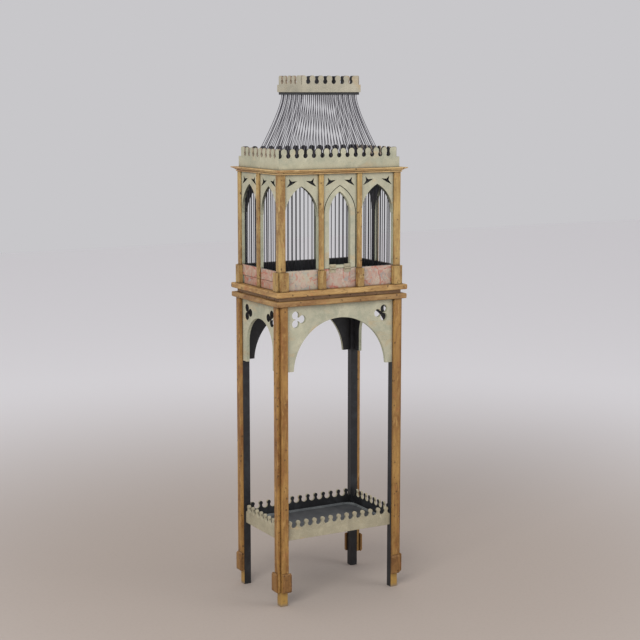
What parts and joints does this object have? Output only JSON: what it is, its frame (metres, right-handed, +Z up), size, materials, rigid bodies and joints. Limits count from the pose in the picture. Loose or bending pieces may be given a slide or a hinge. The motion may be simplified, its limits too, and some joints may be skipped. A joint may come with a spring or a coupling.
{
  "type": "bird cage on stand",
  "caption": "Painted gothic bird cage with wire bays, a drop-down door, a side drawer and a swept wire roof, on a tall four-legged stand with a galleried shelf.",
  "frame": {"origin": "on the floor under the middle of the footprint", "axes": "+Z up, front with the door faces -Y, the drawer slides out to -X"},
  "size_m": [0.404, 0.276, 1.431],
  "materials": {
    "ochre_wood": "ochre glaze with brown mottling and dark knot rings, satin",
    "sage_paint": "grey-green distressed paint outside, black inside, matt",
    "marbled_paint": "pink and grey painted marbling outside, black inside, satin",
    "black_paint": "black paint, satin",
    "dark_wire": "dark painted steel wire, satin",
    "zinc_sheet": "dull dark sheet metal, lighter worn rim",
    "painted_hinge": "painted over with the panel colour, matt"
  },
  "bodies": {
    "stand": {"leg_front_left": "ochre_wood", "leg_front_right": "ochre_wood", "leg_back_left": "ochre_wood", "leg_back_right": "ochre_wood", "leg_strips": "ochre_wood", "leg_pads": "ochre_wood", "stand_top": "ochre_wood", "apron_front": "sage_paint", "apron_back": "sage_paint", "apron_left": "sage_paint", "apron_right": "sage_paint", "shelf_rail_front": "sage_paint", "shelf_rail_back": "sage_paint", "shelf_rail_left": "sage_paint", "shelf_rail_right": "sage_paint", "shelf_board": "black_paint"},
    "pan": {"shelf_pan": "zinc_sheet"},
    "cage": {"neck_board": "ochre_wood", "base_board": "ochre_wood", "post_front_left": "ochre_wood", "post_front_right": "ochre_wood", "post_back_left": "ochre_wood", "post_back_right": "ochre_wood", "corner_blocks": "ochre_wood", "mullions": "ochre_wood", "mullion_blocks": "ochre_wood", "plinth_front": "marbled_paint", "plinth_back": "marbled_paint", "plinth_left": "marbled_paint", "plinth_right": "marbled_paint", "arches_front": "sage_paint", "arches_back": "sage_paint", "arches_left": "sage_paint", "arches_right": "sage_paint", "wires_front_left": "dark_wire", "wires_front_right": "dark_wire", "wires_back": "dark_wire", "wires_left": "dark_wire", "wires_right": "dark_wire", "fixed_hinge_leaves": "painted_hinge", "drawer_guides": "black_paint", "cornice": "ochre_wood", "parapet_front": "sage_paint", "parapet_back": "sage_paint", "parapet_left": "sage_paint", "parapet_right": "sage_paint", "crown_gallery": "sage_paint", "crown_board": "black_paint", "roof_wires_front": "dark_wire", "roof_wires_back": "dark_wire", "roof_wires_left": "dark_wire", "roof_wires_right": "dark_wire"},
    "door": {"door_frame": "sage_paint", "door_wires": "dark_wire", "door_hinge_leaves": "painted_hinge"},
    "drawer": {"drawer_front": "marbled_paint", "drawer_block": "ochre_wood", "drawer_tray": "black_paint"}
  },
  "joints": [
    {"name": "cage_lift", "type": "slide", "parent": "stand", "child": "cage", "axis": [0, 0, 1], "range_m": [0, 0.15]},
    {"name": "pan_lift", "type": "slide", "parent": "stand", "child": "pan", "axis": [0, 0, 1], "range_m": [0, 0.15]},
    {"name": "door_hinge", "type": "hinge", "parent": "cage", "child": "door", "pos_m": [0, -0.1188, 0.9186], "axis": [1, 0, 0], "range_deg": [0, 150]},
    {"name": "drawer_slide", "type": "slide", "parent": "cage", "child": "drawer", "axis": [-1, 0, 0], "range_m": [0, 0.3]}
  ]
}
